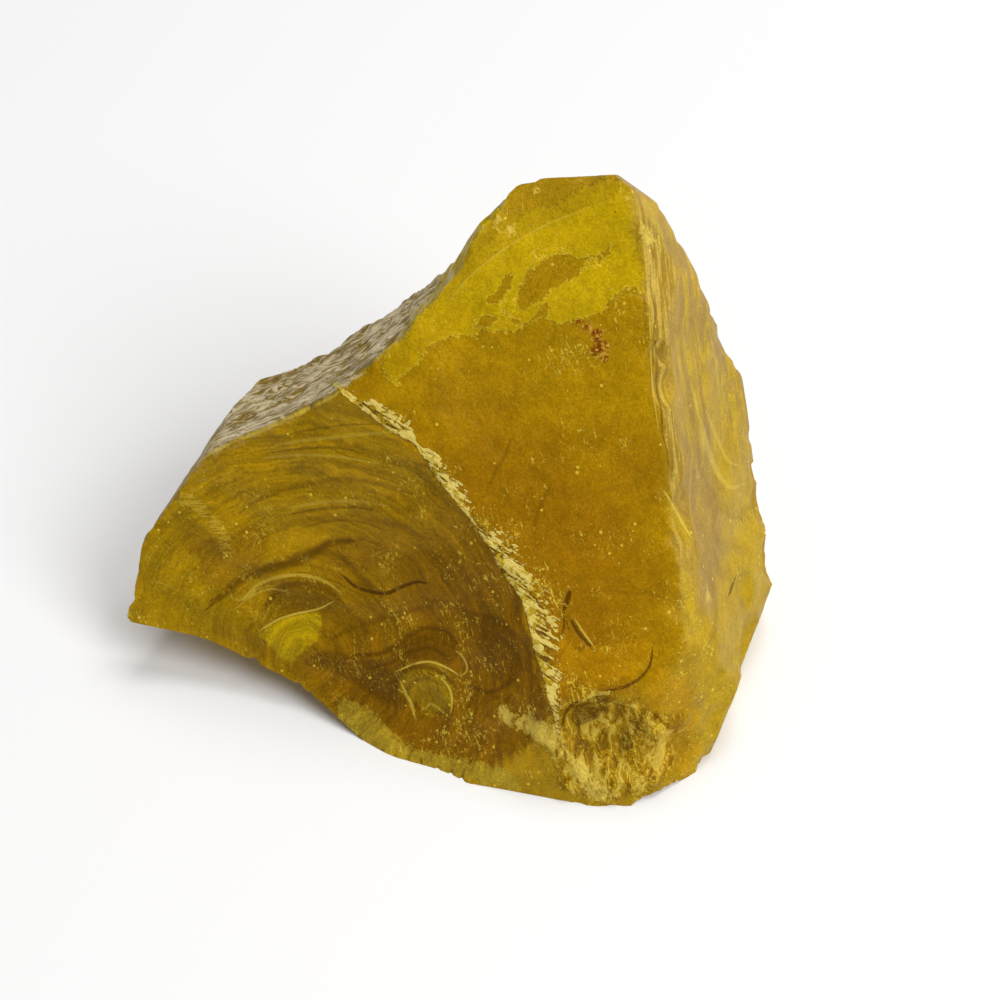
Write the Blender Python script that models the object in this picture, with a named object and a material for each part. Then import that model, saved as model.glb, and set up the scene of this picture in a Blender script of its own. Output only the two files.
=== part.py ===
"""Rough topaz: a broken yellow stone about 50 mm long, resting on the flat break under it.

The stone is one solid. Every break on it is laid out from its heart, a point well inside.
A turn about Z from +X and a tilt above level say which way a break faces, and a reach says
how far from the heart it lies. A flat break is a plane. A hollow break is part of a sphere,
the dish that a blow strikes out, and the steeper the dish the smaller its radius. The ridges
of the stone are where these breaks meet. Small bites are taken out of the ridges last.
"""

import math
import random

import bmesh
import bpy
from mathutils import Matrix, Vector, noise
from mathutils.bvhtree import BVHTree

MM = 0.001

STONE = "rough_topaz"
HEART = Vector((3.4, 3.75, 12.0)) * MM
ROUGH_BLOCK = 90 * MM  # side of the cube that the flat breaks are split from

# Flat breaks: turn and tilt in degrees, reach in mm.
FLATS = {
    "base": (0, -90, 12.0),
    "crown_bevel": (240, 54.5, 17.8),
    "crown_corner": (352.5, 28, 21.1),
    "ridge_strip": (329, 27, 18.1),
    "tip_end": (152.5, 0, 22.4),
    "shoulder_back": (159.5, 30, 20.5),
    "rim_low": (132, -5, 19.1),
    "rear": (91, 14, 12.4),
    "rear_lower": (72, -17, 13.4),
    "crown_rear": (93.5, 28, 17.9),
    "crown_top": (94.5, 51.5, 24.7),
    "crown_right": (29, 43, 26.5),
    "rear_right": (43, 16.5, 19.7),
    "right_end": (22.5, -2, 20.1),
    "heel": (257, 18, 14.4),
    "front_foot": (269, 22.5, 14.9),
    "near_corner": (307, 12.5, 20.5),
    "right_foot": (342.5, -13, 22.9),
}

# Hollow breaks: turn and tilt in degrees, then in mm the reach, the dish's radius, the size of
# a cell of its surface, and the height and length of the ripples that ring its blow.
HOLLOWS = {
    "front": (263.5, 36.5, 10.7, 320, 3.2, 0.10, 9.0),
    "bowl": (244, 20.5, 9.9, 66, 1.6, 0.16, 5.2),
    "shoulder": (153.5, 45.5, 15.7, 44, 2.6, 0.08, 6.0),
    "right": (343, 20.5, 17.6, 210, 2.6, 0.14, 6.5),
    "underside": (188, -65.5, 14.6, 80, 3.2, 0.05, 8.0),
    "rear_scar": (108, 4, 11.0, 30, 2.0, 0.12, 5.0),
    "rear_foot": (48, -20, 16.2, 26, 2.0, 0.10, 5.0),
    "rear_upper": (72, 22, 12.3, 32, 2.2, 0.10, 6.0),
}
DISH_HALF = 36 * MM  # half the side of a dish's square cutter
DISH_SHARE = 0.66  # the most of its radius that a cutter's half side may be
CUTTER_DEPTH = 60 * MM  # how far outwards a cutter runs
SWELL_HEIGHT = 0.12 * MM  # slow unevenness of a hollow break
SWELL_LENGTH = 7 * MM

# Where the blow fell that struck each hollow break: turn, tilt and distance from the heart.
BLOWS = {
    "front": (330, 80, 21),
    "bowl": (191, 50, 18),
    "shoulder": (200, 25, 24),
    "right": (350, 45, 24),
    "underside": (230, -40, 20),
    "rear_scar": (95, 45, 17),
    "rear_foot": (40, -20, 24),
    "rear_upper": (95, 64, 26),
}

# Single scars on the faces: turn and tilt of the spot, then in mm the radius of the scoop and
# its depth.
SCARS = {
    "heel_scallop": (249, -29, 6.0, 0.8),
    "foot_hollow": (297, -16, 5.0, 0.9),
    "foot_crumble_left": (286, -22, 4.0, 0.5),
    "foot_crumble_right": (306, -21, 4.2, 0.5),
    "foot_crumble_low": (298, -26, 4.0, 0.4),
    "ridge_chip": (326, 24, 5.0, 0.5),
    "right_notch": (331, -16, 4.6, 1.2),
    "right_chip": (340, -10, 4.0, 0.5),
    "left_plate": (209, -21, 9.0, 0.5),
    "bowl_step": (210, -6, 18.0, 0.35),
    "crown_peel": (315, 80, 30.0, 0.25),
    "rear_chip": (64, -4, 16.0, 0.5),
}
SCAR_CELLS = 10  # cells along each side of a scoop
SCAR_SPREAD = 2.0  # half side of a scoop, in radii of the dish that it leaves on a flat face
SCAR_ROUGHNESS = 0.5  # unevenness of a scoop, as a share of its depth
SCAR_GRAIN = 1.6 * MM

# Chips along the ridges.
CHIP_SEED = 7
CHIP_COUNT = 110
CHIP_RADIUS = (1.8 * MM, 5.0 * MM)
CHIP_DEPTH = (0.14 * MM, 0.40 * MM)
CHIP_ROUGHNESS = 0.10  # unevenness of a chip's ball, as a share of its radius
RIDGE_ANGLE = math.radians(24)  # two breaks that meet more sharply than this make a ridge
BASE_CLEARANCE = 1.0 * MM  # ridges lower than this, round the base, stay whole

SMOOTH_UNDER = math.radians(20)

STONE_COLOUR = (0.40, 0.22, 0.02, 1)
STONE_ROUGHNESS = 0.5


def clear_scene():
    for thing in list(bpy.data.objects):
        bpy.data.objects.remove(thing, do_unlink=True)


def new_collection(name):
    collection = bpy.data.collections.new(name)
    bpy.context.scene.collection.children.link(collection)
    return collection


def facing(turn, tilt):
    """The direction that a break faces."""
    turned = Matrix.Rotation(math.radians(turn), 3, "Z")
    tilted = Matrix.Rotation(-math.radians(tilt), 3, "Y")
    return turned @ tilted @ Vector((1, 0, 0))


def new_object(name, shape, collection):
    """Turns a bmesh into an object and frees it."""
    mesh = bpy.data.meshes.new(name)
    shape.to_mesh(mesh)
    shape.free()
    made = bpy.data.objects.new(name, mesh)
    collection.objects.link(made)
    return made


def new_cutter(name, shape, collection):
    bmesh.ops.recalc_face_normals(shape, faces=shape.faces)
    cutter = new_object(name, shape, collection)
    cutter.display_type = "WIRE"
    cutter.hide_render = True
    return cutter


def split_block():
    """A cube split along every flat break in turn."""
    block = bmesh.new()
    bmesh.ops.create_cube(block, size=ROUGH_BLOCK, matrix=Matrix.Translation(HEART))
    for turn, tilt, reach in FLATS.values():
        out = facing(turn, tilt)
        split = bmesh.ops.bisect_plane(
            block,
            geom=block.verts[:] + block.edges[:] + block.faces[:],
            plane_co=HEART + out * reach * MM,
            plane_no=out,
            clear_outer=True,
        )
        rim = [part for part in split["geom_cut"] if isinstance(part, bmesh.types.BMEdge)]
        bmesh.ops.contextual_create(block, geom=rim)
    bmesh.ops.recalc_face_normals(block, faces=block.faces)
    return block


def bowed_cutter(name, collection, origin, out, radius, half, cells, unevenness):
    """A block whose inner face is a square piece of a sphere that bulges inwards at the origin."""
    block = bmesh.new()
    bmesh.ops.create_grid(block, x_segments=cells, y_segments=cells, size=half)
    for vert in block.verts:
        vert.co.z = radius - math.sqrt(radius**2 - vert.co.xy.length_squared)
    place = Matrix.Translation(origin) @ out.to_track_quat("Z", "Y").to_matrix().to_4x4()
    bmesh.ops.transform(block, matrix=place, verts=block.verts)
    for vert in block.verts:
        vert.co += out * unevenness(vert.co)
    raised = bmesh.ops.extrude_face_region(block, geom=block.faces[:])
    upper = [part for part in raised["geom"] if isinstance(part, bmesh.types.BMVert)]
    bmesh.ops.translate(block, vec=out * CUTTER_DEPTH, verts=upper)
    return new_cutter(name, block, collection)


def dish_cutter(name, collection):
    """The cutter of one hollow break, rippled in rings round the spot where the blow fell."""
    turn, tilt, *sizes = HOLLOWS[name]
    reach, radius, cell, ripple, length = (size * MM for size in sizes)
    blow_turn, blow_tilt, blow_reach = BLOWS[name]
    blow = HEART + facing(blow_turn, blow_tilt) * blow_reach * MM
    out = facing(turn, tilt)
    half = min(DISH_HALF, DISH_SHARE * radius)

    def unevenness(spot):
        ring = ripple * math.sin(math.tau * (spot - blow).length / length)
        return ring + SWELL_HEIGHT * noise.noise(spot / SWELL_LENGTH)

    cells = round(2 * half / cell)
    return bowed_cutter(name, collection, HEART + out * reach, out, radius, half, cells, unevenness)


def scar_cutter(name, collection, surface):
    """The cutter of one scar, scooped out where a line from the heart leaves the stone."""
    turn, tilt, *sizes = SCARS[name]
    radius, depth = (size * MM for size in sizes)
    spot, out, _, _ = surface.ray_cast(HEART, facing(turn, tilt))
    half = min(SCAR_SPREAD * math.sqrt(2 * radius * depth), DISH_SHARE * radius)

    def unevenness(point):
        return SCAR_ROUGHNESS * depth * noise.noise(point / SCAR_GRAIN)

    return bowed_cutter(name, collection, spot - out * depth, out, radius, half, SCAR_CELLS, unevenness)


def chip_cutter(name, collection, spot, out, radius, depth):
    """An uneven ball that dips to the given depth below a spot on a ridge."""
    ball = bmesh.new()
    bmesh.ops.create_icosphere(ball, subdivisions=2, radius=radius)
    for vert in ball.verts:
        vert.co *= 1 + CHIP_ROUGHNESS * noise.noise(vert.co / radius * 2 + spot / MM)
    centre = Matrix.Translation(spot + out * (radius - depth))
    bmesh.ops.transform(ball, matrix=centre, verts=ball.verts)
    return new_cutter(name, ball, collection)


def cut_out(stone, cutter):
    """Cuts one cutter out of the stone for good."""
    cut = stone.modifiers.new(cutter.name, "BOOLEAN")
    cut.operation = "DIFFERENCE"
    cut.object = cutter
    cut.solver = "MANIFOLD"
    graph = bpy.context.evaluated_depsgraph_get()
    stone.data = bpy.data.meshes.new_from_object(stone.evaluated_get(graph))
    stone.modifiers.remove(cut)
    bpy.data.objects.remove(cutter, do_unlink=True)


def strike_hollows(stone, cutters):
    for name in HOLLOWS:
        cut_out(stone, dish_cutter(name, cutters))


def strike_scars(stone, cutters):
    shape = bmesh.new()
    shape.from_mesh(stone.data)
    surface = BVHTree.FromBMesh(shape)
    shape.free()
    for name in SCARS:
        cut_out(stone, scar_cutter(name, cutters, surface))


def ridge_spots(stone):
    """(middle, outward direction, length) of each edge along a ridge, in a fixed order."""
    surface = bmesh.new()
    surface.from_mesh(stone.data)
    spots = []
    for edge in surface.edges:
        if len(edge.link_faces) != 2 or edge.calc_face_angle_signed(0) < RIDGE_ANGLE:
            continue
        middle = (edge.verts[0].co + edge.verts[1].co) / 2
        if middle.z < BASE_CLEARANCE:
            continue
        out = (edge.link_faces[0].normal + edge.link_faces[1].normal).normalized()
        spots.append((middle, out, edge.calc_length()))
    surface.free()
    return sorted(spots, key=lambda spot: tuple(round(value / MM, 2) for value in spot[0]))


def chip_ridges(stone, cutters, spots):
    dice = random.Random(CHIP_SEED)
    weights = [length for _, _, length in spots]
    for spot, out, _ in dice.choices(spots, weights, k=CHIP_COUNT):
        radius = dice.uniform(*CHIP_RADIUS)
        depth = dice.uniform(*CHIP_DEPTH)
        cut_out(stone, chip_cutter("chip", cutters, spot, out, radius, depth))


def stone_material():
    material = bpy.data.materials.new("yellow_stone")
    material.use_nodes = True
    shader = material.node_tree.nodes["Principled BSDF"]
    shader.inputs["Base Color"].default_value = STONE_COLOUR
    shader.inputs["Roughness"].default_value = STONE_ROUGHNESS
    shader.inputs["Metallic"].default_value = 0
    return material


def main():
    clear_scene()
    stone = new_object(STONE, split_block(), new_collection("rough topaz"))
    cutters = new_collection("cutters")
    strike_hollows(stone, cutters)
    ridges = ridge_spots(stone)
    strike_scars(stone, cutters)
    chip_ridges(stone, cutters, ridges)
    bpy.data.collections.remove(cutters)
    stone.data.name = STONE
    stone.data.materials.clear()
    stone.data.materials.append(stone_material())
    stone.data.shade_smooth()
    stone.data.set_sharp_from_angle(angle=SMOOTH_UNDER)


main()
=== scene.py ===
import math
import bpy
import numpy as np
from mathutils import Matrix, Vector


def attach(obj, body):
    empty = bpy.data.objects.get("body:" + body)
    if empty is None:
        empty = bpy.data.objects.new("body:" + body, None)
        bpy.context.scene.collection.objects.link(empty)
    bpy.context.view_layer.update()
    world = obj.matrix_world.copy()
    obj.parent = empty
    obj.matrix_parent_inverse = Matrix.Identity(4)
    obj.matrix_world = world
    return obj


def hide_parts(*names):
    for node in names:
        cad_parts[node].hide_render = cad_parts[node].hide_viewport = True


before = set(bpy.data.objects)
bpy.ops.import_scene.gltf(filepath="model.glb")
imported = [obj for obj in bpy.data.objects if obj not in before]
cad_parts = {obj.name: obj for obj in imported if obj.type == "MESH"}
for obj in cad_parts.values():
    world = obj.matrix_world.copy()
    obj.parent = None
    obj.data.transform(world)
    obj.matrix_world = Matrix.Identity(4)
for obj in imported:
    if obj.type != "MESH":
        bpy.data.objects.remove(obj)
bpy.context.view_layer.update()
print("frame loaded")

# camera: looks down at the stone from the front, lengths in metres, angles in degrees
cameraSetup = {"target": (0.0038, 0.00225, 0.0132), "elevation": 45, "distance": 0.216, "lens": 100, "sensor": 36}


def addCamera(setup):
    target = Vector(setup["target"])
    lift = math.radians(setup["elevation"])
    back = Vector((0, -math.cos(lift), math.sin(lift)))
    data = bpy.data.cameras.new("camera")
    data.lens, data.sensor_width = setup["lens"], setup["sensor"]
    data.clip_start, data.clip_end = 0.01, 10
    camera = bpy.data.objects.new("camera", data)
    camera.location = target + back * setup["distance"]
    camera.rotation_mode = "QUATERNION"
    camera.rotation_quaternion = (-back).to_track_quat("-Z", "Y")
    bpy.context.scene.collection.objects.link(camera)
    bpy.context.scene.camera = camera


addCamera(cameraSetup)
print("camera placed")

# the stone: breaks laid out from its heart, angles in degrees, lengths in mm
# a break faces turn about Z from +X and tilt above level, and reach is how far it passes from the heart
stoneShape = {
    "heart": (3.4, 3.75, 12.0),
    "gridCells": 128,      # cells along each side of the six grids
    "evenSteps": 26, "evenShare": 0.6,    # how often and how far the points are spread out
    "crispAngle": 38,      # edges sharper than this, in degrees, aren't smoothed over
    "ridgeSoftness": 0.045,    # how far two breaks melt into each other at a ridge
    "reliefNear": 1.6,     # relief is worked out this close to the surface
    "steepest": 0.3,       # relief isn't stretched further than this on breaks seen edge on
    "easeBox": ((-6, -99, -99), (16, 0, 12)),    # the low front, where points seen edge on are evened out
    "easeRounds": 4, "easeBelow": 0.42,
    "shareSoftness": 0.04,    # how far the colours of two breaks run into each other at a ridge
    "splitNear": 0.4,      # faces this close to a ridge are cut along it
}
flatBreaks = {    # turn, tilt, reach
    "base": (0, -90, 12.0),
    "crownBevel": (240, 54.5, 17.8),
    "crownCorner": (352.5, 28, 21.1),
    "ridgeStrip": (329, 27, 18.1),
    "tipEnd": (152.5, 0, 22.4),
    "shoulderBack": (159.5, 30, 20.5),
    "rimLow": (132, -5, 19.1),
    "rear": (91, 14, 12.4),
    "rearLower": (72, -17, 13.4),
    "crownRear": (93.5, 28, 17.9),
    "crownTop": (94.5, 51.5, 24.7),
    "crownRight": (29, 43, 26.5),
    "rearRight": (43, 16.5, 19.7),
    "rightEnd": (22.5, -2, 20.1),
    "heel": (257, 18, 14.4),
    "frontFoot": (269, 22.5, 14.9),
    "nearCorner": (307, 12.5, 20.5),
    "rightFoot": (342.5, -13, 22.9),
}
hollowBreaks = {    # turn, tilt, reach, then the radius of the hollow
    "front": (263.5, 36.5, 10.7, 320),
    "bowl": (244, 20.5, 9.9, 66),
    "shoulder": (153.5, 45.5, 15.7, 44),
    "right": (343, 20.5, 17.6, 210),
    "underside": (188, -65.5, 14.6, 80),
    "rearScar": (108, 4, 11.0, 30),
    "rearFoot": (48, -20, 16.2, 26),
    "rearUpper": (72, 22, 12.3, 32),
}
blowSpots = {    # where each break was struck: turn, tilt, distance, then ring length and ring height
    "front": (330, 80, 21, 9, 0.10),
    "bowl": (191, 50, 18, 5.2, 0.14),
    "shoulder": (200, 25, 24, 6, 0.08),
    "right": (350, 45, 24, 6.5, 0.14),
    "underside": (230, -40, 20, 8, 0.05),
    "rearScar": (95, 45, 17, 5, 0.12),
    "rearFoot": (40, -20, 24, 5, 0.10),
    "rearUpper": (95, 64, 26, 6, 0.10),
}
namedScars = {    # turn, tilt, radius, depth
    "heelScallop": (249, -29, 6, 0.8),
    "footHollow": (296, -17, 4.4, 1.2),
    "footCrumbleLeft": (286, -18, 3.6, 0.5),
    "footToe": (302, -29, 9, 0.5),
    "footCrumbleRight": (306, -21, 4.2, 0.5),
    "footCrumbleLow": (298, -26, 4, 0.4),
    "ridgeChip": (326, 24, 5, 0.5),
    "rightNotch": (336, -18, 4.2, 1.4),
    "rightChip": (340, -10, 4, 0.5),
    "bowlStep": (210, -6, 18, 0.35),
    "crownPeel": (315, 80, 30, 0.25),
    "rearChip": (64, -4, 16, 0.5),
}
knobs = {    # small swellings that the breaks went round: turn, tilt, radius, height
    "crownKnob": (104, 73, 3.1, 0.7),
    "crownLeftKnob": (107, 80, 2.6, 0.8),
    "heelKnob": (247, -33, 4.4, 1.3),
}


def facing(turn, tilt):
    turn, tilt = np.radians(turn), np.radians(tilt)
    return np.stack([np.cos(turn) * np.cos(tilt), np.sin(turn) * np.cos(tilt), np.sin(tilt)], -1)


def lengthOf(vectors):
    return np.sqrt((vectors**2).sum(-1))


def smoothStep(values, low, high):
    share = np.clip((values - low) / (high - low), 0, 1)
    return share * share * (3 - 2 * share)


def cellHash(cell, seed):    # three whole numbers and a seed, scrambled into one 32-bit number
    mixed = cell[..., 0] * 374761393 + cell[..., 1] * 668265263 + cell[..., 2] * 2246822519 + seed * 3266489917
    mixed = mixed & 0xFFFFFFFF
    mixed = ((mixed ^ (mixed >> 13)) * 1274126177) & 0xFFFFFFFF
    return mixed ^ (mixed >> 16)


def hashParts(mixed):    # three numbers from -1 to 1 out of one scrambled number
    return np.stack([(mixed >> shift & 1023) / 511.5 - 1 for shift in (0, 10, 20)], -1)


def gradientNoise(points, seed=0):    # smooth noise: blend over the eight corners of (random slope . offset)
    cell = np.floor(points).astype(np.int64)
    inside = points - cell
    fade = inside**3 * (inside * (inside * 6 - 15) + 10)
    total = np.zeros(len(points))
    for corner in np.ndindex(2, 2, 2):
        step = np.array(corner)
        slope = hashParts(cellHash(cell + step, seed))
        weight = np.prod(np.where(step, fade, 1 - fade), -1)
        total += weight * (slope * (inside - step)).sum(-1)
    return total


def layeredNoise(points, layers, seed=0, fall=0.5):    # each layer half as long and half as high
    return sum(fall**layer * gradientNoise(points * 2.0**layer, seed + layer) for layer in range(layers))


def sway(points, length, seed):    # a smooth push in all three directions
    return np.stack([gradientNoise(points / length, seed + part) for part in range(3)], -1)


def brokenCells(points, seed=0):    # the nearest point of a jittered lattice: its tilted flat piece, and the edge gap
    cell = np.floor(points).astype(np.int64)
    nearest = np.full(len(points), 9.0)
    second = np.full(len(points), 9.0)
    height = np.zeros(len(points))
    for shift in np.ndindex(3, 3, 3):
        place = cell + np.array(shift) - 1
        mixed = cellHash(place, seed)
        offset = place + 0.5 + 0.42 * hashParts(mixed) - points
        gap = lengthOf(offset)
        tilted = (hashParts(cellHash(place, seed + 7)) * offset).sum(-1) + (mixed % 997) / 997 - 0.5
        closer = gap < nearest
        second = np.where(closer, nearest, np.minimum(second, gap))
        height = np.where(closer, tilted, height)
        nearest = np.where(closer, gap, nearest)
    return height, second - nearest


def terraces(values, width=0.16):    # whole steps with a short smooth riser between them
    floor = np.floor(values)
    return floor + smoothStep(values - floor, 1 - width, 1)


def rings(points, blow, length, height, wander, seed):    # folded sine of the distance from the blow: sharp crests
    away = lengthOf(points - blow) + wander * gradientNoise(points / 3.5, seed)
    wave = np.sin(math.pi * away / length)
    return height * (1 - 1.6 * np.sqrt(wave * wave + 0.02))


def hackle(points, blow, length, height, seed):    # streaks that run away from the blow
    offset = points - blow
    away = lengthOf(offset)
    heading = offset / away[:, None]
    return height * gradientNoise(heading * (18 / length) + (away / 14)[:, None], seed)


heart = np.array(stoneShape["heart"])
flatNames, hollowNames = list(flatBreaks), list(hollowBreaks)
breakNames = flatNames + hollowNames
flatTable = np.array([flatBreaks[name] for name in flatNames], float)
hollowTable = np.array([hollowBreaks[name] for name in hollowNames], float)
flatOut = facing(flatTable[:, 0], flatTable[:, 1])
hollowOut = facing(hollowTable[:, 0], hollowTable[:, 1])
farAway = 99.0


def breakReaches(rays):    # one row per break: how far each ray goes before it meets that break
    facingShare = rays @ flatOut.T
    flat = np.where(facingShare > 1e-4, flatTable[:, 2] / np.maximum(facingShare, 1e-4), farAway)
    centres = hollowOut * (hollowTable[:, 2] + hollowTable[:, 3])[:, None]
    along = rays @ centres.T
    inside = along**2 - ((centres**2).sum(-1) - hollowTable[:, 3] ** 2)
    hollow = np.where((inside > 0) & (along > 0), along - np.sqrt(np.maximum(inside, 0)), farAway)
    return np.minimum(np.concatenate([flat, hollow], 1), farAway).T


def plainReach(rays):
    return breakReaches(rays).min(0)


def sixGrids(cells):    # a cube's six square grids, blown up to a ball of directions
    count = cells + 1
    line = np.arange(count)
    quads = []
    for axis in range(3):
        for side in (0, cells):
            across, up = np.meshgrid(line, line, indexing="ij")
            place = np.empty((count, count, 3), int)
            place[..., axis], place[..., (axis + 1) % 3], place[..., (axis + 2) % 3] = side, across, up
            key = place @ np.array([count * count, count, 1])
            corners = [key[:-1, :-1], key[1:, :-1], key[1:, 1:], key[:-1, 1:]]
            quads.append(np.stack(corners if side else corners[::-1], -1).reshape(-1, 4))
    used, quads = np.unique(np.concatenate(quads), return_inverse=True)
    place = np.stack([used // count**2, used // count % count, used % count], -1)
    spread = np.tan((place / cells * 2 - 1) * math.pi / 4)
    return spread / lengthOf(spread)[:, None], quads.reshape(-1, 4)


def edgeEnds(quads):    # both ends of every edge, each edge once in each direction
    return quads.ravel(), np.roll(quads, -1, 1).ravel()


def neighbourMean(values, starts, ends):
    counts = np.bincount(starts, minlength=len(values))
    sums = [np.bincount(starts, weights=values[ends, part], minlength=len(values)) for part in range(3)]
    return np.stack(sums, -1) / counts[:, None]


def spreadOut(rays, quads, steps, share):    # moves each ray towards the middle of its neighbours' points
    starts, ends = edgeEnds(quads)
    for _ in range(steps):
        points = rays * plainReach(rays)[:, None]
        moved = points + share * (neighbourMean(points, starts, ends) - points)
        rays = moved / lengthOf(moved)[:, None]
    return rays


rays, quads = sixGrids(stoneShape["gridCells"])
rays = spreadOut(rays, quads, stoneShape["evenSteps"], stoneShape["evenShare"])
print("directions spread out:", len(rays), "points,", len(quads), "faces")

# relief, heights in mm
reliefSizes = {
    "swellLength": 7, "swellHeight": 0.10,
    "middleLength": 2.4, "middleHeight": 0.045,
    "fineLength": 0.75, "fineHeight": 0.016,
    "peelHeight": 0.085, "peelSteps": 3.2, "peelLength": 5.5, "peelFrom": (25.5, 28.5), "peelUpTo": (35.0, 37.0),
    "scallopLength": 1.9, "scallopHeight": 0.24, "scallopRim": 0.55,
    "crumbleLength": 1.5, "crumbleHeight": 0.42,
    "grainLength": 0.62, "grainHeight": 0.11,
    "footSpot": (297, -22, 21.5), "footReach": (6.5, 5.5, 5.5), "footEdge": (0.55, 1.15),    # turn, tilt, distance
}


def blowPoint(name):
    turn, tilt, away = blowSpots[name][:3]
    return heart + facing(turn, tilt) * away


def commonRelief(points, seed):
    size = reliefSizes
    return (size["swellHeight"] * gradientNoise(points / size["swellLength"], seed)
            + size["middleHeight"] * gradientNoise(points / size["middleLength"], seed + 1)
            + size["fineHeight"] * gradientNoise(points / size["fineLength"], seed + 2))


def struckRelief(name, points, seed, wander=1.2, fineShare=0.22):
    length, height = blowSpots[name][3:]
    blow = blowPoint(name)
    waves = height * np.sin(math.tau * lengthOf(points - blow) / length)
    sharp = rings(points, blow, length * 0.42, height * fineShare, wander, seed + 5)
    fade = smoothStep(gradientNoise(points / 4.5, seed + 9), -0.25, 0.3)
    return waves + sharp * fade + hackle(points, blow, 1.6, height * 0.2, seed + 11)


def footShare(points):    # 1 in the crumbled foot, 0 away from it
    turn, tilt, away = reliefSizes["footSpot"]
    offset = (points - heart - facing(turn, tilt) * away) / np.array(reliefSizes["footReach"])
    return 1 - smoothStep(lengthOf(offset) + 0.35 * gradientNoise(points / 2.2, 41), *reliefSizes["footEdge"])


def crumbleRelief(points):
    size = reliefSizes
    bent = points + 0.35 * sway(points, 1.1, 51)
    coarse, _ = brokenCells(bent / size["crumbleLength"], 52)
    fine, _ = brokenCells(bent / size["grainLength"], 53)
    return size["crumbleHeight"] * coarse + size["grainHeight"] * fine


def peelRelief(points):    # thin shells torn off the upper front, with curved step edges
    size = reliefSizes
    upper = smoothStep(points[:, 2] + 1.5 * gradientNoise(points / 4, 61), *size["peelFrom"])
    upper *= 1 - smoothStep(points[:, 2], *size["peelUpTo"])
    bent = points + 1.4 * sway(points, 2.6, 62)
    field = layeredNoise(bent / size["peelLength"], 3, 65) + 0.10 * points[:, 0] / size["peelLength"]
    return size["peelHeight"] * upper * (terraces(field * size["peelSteps"] * 2) - field * size["peelSteps"])


def scallopRelief(points):    # shallow round scars all over, each a dish with a raised rim
    size = reliefSizes
    bent = points + 0.5 * sway(points, 1.7, 71)
    _, gap = brokenCells(bent / size["scallopLength"], 74)
    return size["scallopHeight"] * (0.5 - smoothStep(gap, 0.0, size["scallopRim"]))


def breakRelief(name, points):
    seed = 10 * breakNames.index(name)
    height = commonRelief(points, seed)
    if name in blowSpots:
        height += struckRelief(name, points, seed)
    if name == "front":
        height += peelRelief(points)
    if name in ("shoulder", "shoulderBack"):
        height += scallopRelief(points)
    if name not in ("base", "underside"):
        foot = footShare(points)
        near = foot > 0
        height[near] += foot[near] * crumbleRelief(points[near])
    return height


def breakNormal(index, points):
    if index < len(flatNames):
        return flatOut[index]
    row = index - len(flatNames)
    centre = heart + hollowOut[row] * (hollowTable[row, 2] + hollowTable[row, 3])
    return (centre - points) / hollowTable[row, 3]


def knobHeight(rays, nearest):
    height = np.zeros(len(rays))
    for turn, tilt, radius, rise in knobs.values():
        away = lengthOf(rays - facing(turn, tilt)) * nearest
        height += rise * np.clip(1 - (away / radius) ** 2, 0, 1) ** 1.5
    return height


def raisedReaches(rays, reaches):    # adds each break's relief to its reach, measured along the ray
    nearest = reaches.min(0)
    raised = reaches.copy()
    raised[1:] += knobHeight(rays, nearest)    # all but the base, which stays flat
    for index, name in enumerate(breakNames):
        if name == "base":
            continue
        close = np.nonzero(reaches[index] < nearest + stoneShape["reliefNear"])[0]
        points = heart + rays[close] * reaches[index, close, None]
        share = (breakNormal(index, points) * rays[close]).sum(-1)
        raised[index, close] += breakRelief(name, points) / np.maximum(share, stoneShape["steepest"])
    return raised


def meltedLowest(reaches, softness):    # the lowest of all, with the corners between them rounded
    lowest = reaches.min(0)
    return lowest - softness * np.log(np.exp(-(reaches - lowest) / softness).sum(0))


def scoop(rays, reach, centre, radius, softness=0.02):    # cuts a ball out of the stone
    along = rays @ (centre - heart)
    inside = along**2 - (((centre - heart) ** 2).sum() - radius**2)
    hit = np.nonzero(inside > 0)[0]
    depth = np.sqrt(inside[hit])
    entry, leave = along[hit] - depth, along[hit] + depth
    cut = (entry < reach[hit]) & (leave > reach[hit])
    hit, entry = hit[cut], entry[cut]
    reach[hit] -= np.sqrt((reach[hit] - entry) ** 2 + softness**2) - softness


def slideToRidges(rays, quads, lift):    # slides points that lie close to a ridge onto it, which keeps ridges crisp
    starts, ends = edgeEnds(quads)
    counts = np.bincount(starts, minlength=len(rays))
    cell = np.bincount(starts, weights=lengthOf(rays[starts] - rays[ends]), minlength=len(rays)) / counts
    everyRay = np.arange(len(rays))
    first, second = np.argsort(breakReaches(rays) + lift, 0)[:2]

    def gapAt(turned):
        reaches = breakReaches(turned) + lift
        return reaches[second, everyRay] - reaches[first, everyRay]

    gap = gapAt(rays)
    across = np.cross(rays, [0.28, 0.31, 0.91])    # any heading does, so long as no ray runs along it
    across /= lengthOf(across)[:, None]
    up = np.cross(rays, across)
    nudge = 1e-4
    slope = np.stack([(gapAt(rays + nudge * across) - gap) / nudge, (gapAt(rays + nudge * up) - gap) / nudge], -1)
    steep = (slope**2).sum(-1)
    shift = -gap[:, None] * slope / np.maximum(steep, 1e-9)[:, None]
    close = (lengthOf(shift) < 0.5 * cell) & (steep > 1e-3)
    shift[~close] = 0
    moved = rays + shift[:, :1] * across + shift[:, 1:] * up
    return moved / lengthOf(moved)[:, None]


def surfaceNormals(points, quads):
    corners = points[quads]
    across = np.cross(corners[:, 2] - corners[:, 0], corners[:, 3] - corners[:, 1])
    normals = np.stack([np.bincount(quads.ravel(), weights=np.repeat(across[:, part], 4), minlength=len(points))
                        for part in range(3)], -1)
    return normals / np.maximum(lengthOf(normals), 1e-12)[:, None]


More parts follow.
